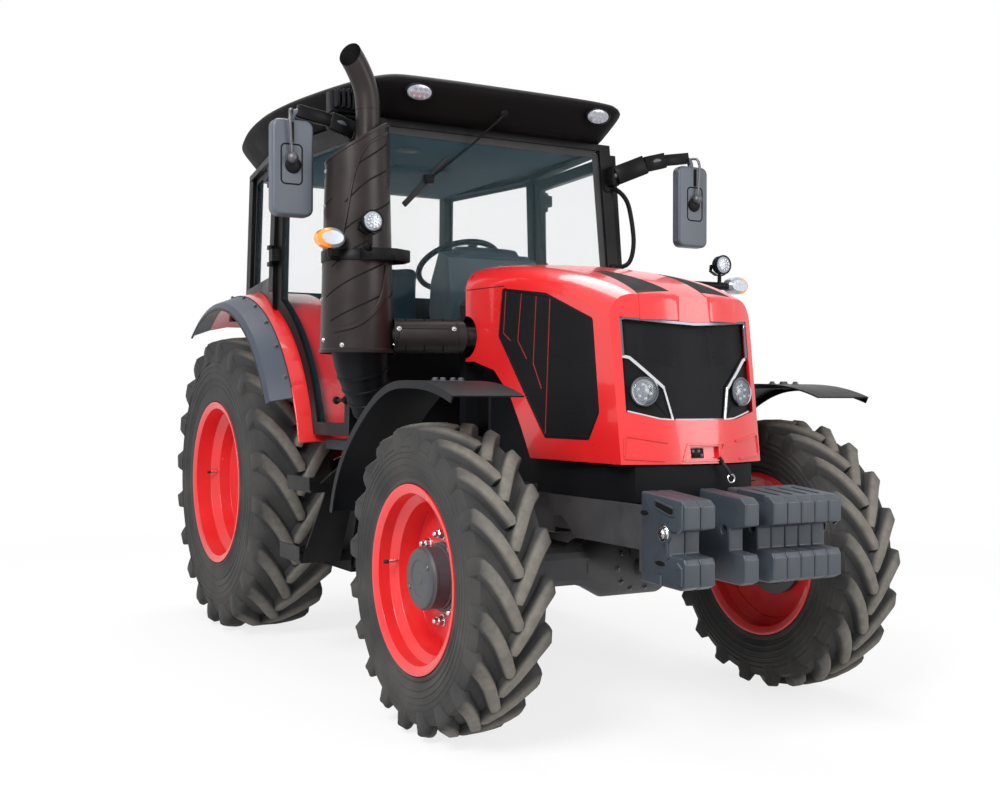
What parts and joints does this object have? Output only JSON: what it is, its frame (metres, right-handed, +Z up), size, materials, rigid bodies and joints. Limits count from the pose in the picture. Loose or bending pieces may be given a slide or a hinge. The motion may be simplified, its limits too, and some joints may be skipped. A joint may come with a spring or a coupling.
{
  "type": "farm tractor",
  "caption": "Four-wheel-drive farm tractor with glazed cab, steered front wheels, flip-up hood, side exhaust stack, front weights and rear three-point hitch.",
  "frame": {"origin": "on the ground under the middle of the machine's overall length and width", "axes": "+X forward, +Y to the driver's left, +Z up"},
  "size_m": [4.15, 2.218, 2.6754],
  "materials": {
    "tyre": "matt moulded rubber",
    "red_paint": "gloss enamel",
    "rim_red": "gloss enamel",
    "black_plastic": "grained",
    "black_paint": "satin",
    "grey_casting": "satin",
    "weight_grey": "satin enamel on cast iron",
    "engine_grey": "painted",
    "glass": "green tint",
    "lamp_lens": "clear moulded",
    "amber_lens": "clear moulded",
    "steel": "bright",
    "seat_cloth": "woven",
    "screen_black": "perforated"
  },
  "bodies": {
    "chassis": {"front_axle": "grey_casting", "front_frame": "grey_casting", "engine": "engine_grey", "transmission": "grey_casting", "rear_axle": "grey_casting", "lower_panels": "black_plastic", "front_weights": "weight_grey", "fuel_tank": "black_plastic", "battery_box": "black_plastic", "steps": "black_paint", "exhaust_pipe": "black_paint", "exhaust_shields": "black_paint", "lamp_arms": "black_paint", "work_lamps": "lamp_lens", "signal_lamps": "amber_lens", "cab_frame": "black_paint", "cab_floor": "black_plastic", "roof": "black_plastic", "cab_glass": "glass", "rear_fenders": "red_paint", "fender_extensions": "black_plastic", "seat": "seat_cloth", "dashboard": "black_plastic", "mirrors": "black_plastic", "rear_hitch": "grey_casting"},
    "hood": {"hood": "red_paint", "hood_screens": "screen_black", "headlamps": "lamp_lens"},
    "steering_rod": {"steering_rod": "steel"},
    "steering_wheel": {"steering_wheel": "black_plastic"},
    "lower_links": {"lower_links": "black_paint"},
    "lift_arms": {"lift_arms": "black_paint"},
    "lift_rods": {"lift_rods": "steel"},
    "door_left": {"door_left": "black_paint", "door_glass_left": "glass"},
    "knuckle_left": {"knuckle_left": "grey_casting", "front_fender_left": "black_plastic"},
    "front_wheel_left": {"front_tyre_left": "tyre", "front_rim_left": "rim_red", "front_hub_left": "grey_casting"},
    "rear_wheel_left": {"rear_tyre_left": "tyre", "rear_rim_left": "rim_red"},
    "door_right": {"door_right": "black_paint", "door_glass_right": "glass"},
    "knuckle_right": {"knuckle_right": "grey_casting", "front_fender_right": "black_plastic"},
    "front_wheel_right": {"front_tyre_right": "tyre", "front_rim_right": "rim_red", "front_hub_right": "grey_casting"},
    "rear_wheel_right": {"rear_tyre_right": "tyre", "rear_rim_right": "rim_red"}
  },
  "joints": [
    {"name": "steer_left", "type": "hinge", "parent": "chassis", "child": "knuckle_left", "pos_m": [1.275, 0.6, 0.543], "axis": [0, 0, 1], "range_deg": [-35, 35]},
    {"name": "front_wheel_left_spin", "type": "hinge", "parent": "knuckle_left", "child": "front_wheel_left", "pos_m": [1.275, 0.771, 0.543], "axis": [0, 1, 0], "continuous": true},
    {"name": "rear_wheel_left_spin", "type": "hinge", "parent": "chassis", "child": "rear_wheel_left", "pos_m": [-1.025, 0.715, 0.738], "axis": [0, 1, 0], "continuous": true},
    {"name": "door_left_swing", "type": "hinge", "parent": "chassis", "child": "door_left", "pos_m": [-0.57, 0.775, 1.85], "axis": [0, 0, 1], "range_deg": [0, 65]},
    {"name": "steer_right", "type": "hinge", "parent": "chassis", "child": "knuckle_right", "pos_m": [1.275, -0.6, 0.543], "axis": [0, 0, 1], "range_deg": [-35, 35]},
    {"name": "front_wheel_right_spin", "type": "hinge", "parent": "knuckle_right", "child": "front_wheel_right", "pos_m": [1.275, -0.771, 0.543], "axis": [0, 1, 0], "continuous": true},
    {"name": "rear_wheel_right_spin", "type": "hinge", "parent": "chassis", "child": "rear_wheel_right", "pos_m": [-1.025, -0.715, 0.738], "axis": [0, 1, 0], "continuous": true},
    {"name": "door_right_swing", "type": "hinge", "parent": "chassis", "child": "door_right", "pos_m": [-0.57, -0.775, 1.85], "axis": [0, 0, -1], "range_deg": [0, 65]},
    {"name": "steering_rod_slide", "type": "slide", "parent": "chassis", "child": "steering_rod", "axis": [0, 1, 0], "range_m": [-0.093, 0.093]},
    {"name": "steering_wheel_turn", "type": "hinge", "parent": "chassis", "child": "steering_wheel", "pos_m": [-0.105, 0, 1.8], "axis": [-0.5, 0, 0.866], "range_deg": [-720, 720]},
    {"name": "hood_lift", "type": "hinge", "parent": "chassis", "child": "hood", "pos_m": [0.667, 0, 1.662], "axis": [0, -1, 0], "range_deg": [0, 50]},
    {"name": "hitch_lift", "type": "hinge", "parent": "chassis", "child": "lower_links", "pos_m": [-1.005, 0, 0.47], "axis": [0, 1, 0], "range_deg": [-16, 20]},
    {"name": "lift_arm_turn", "type": "hinge", "parent": "chassis", "child": "lift_arms", "pos_m": [-1.25, 0, 1.03], "axis": [0, 1, 0], "range_deg": [-31, 38]},
    {"name": "lift_rod_swing", "type": "hinge", "parent": "lift_arms", "child": "lift_rods", "pos_m": [-1.525, 0, 1.105], "axis": [0, 1, 0], "range_deg": [-33, 27]}
  ],
  "couplings": [
    {"joint": "steer_right", "follows": "steer_left", "ratio": 1},
    {"joint": "steering_rod_slide", "follows": "steer_left", "m_per_rad": -0.15023},
    {"joint": "steering_wheel_turn", "follows": "steer_left", "ratio": 20.5},
    {"joint": "lift_arm_turn", "follows": "hitch_lift", "ratio": 1.88},
    {"joint": "lift_rod_swing", "follows": "hitch_lift", "ratio": -1.64}
  ]
}
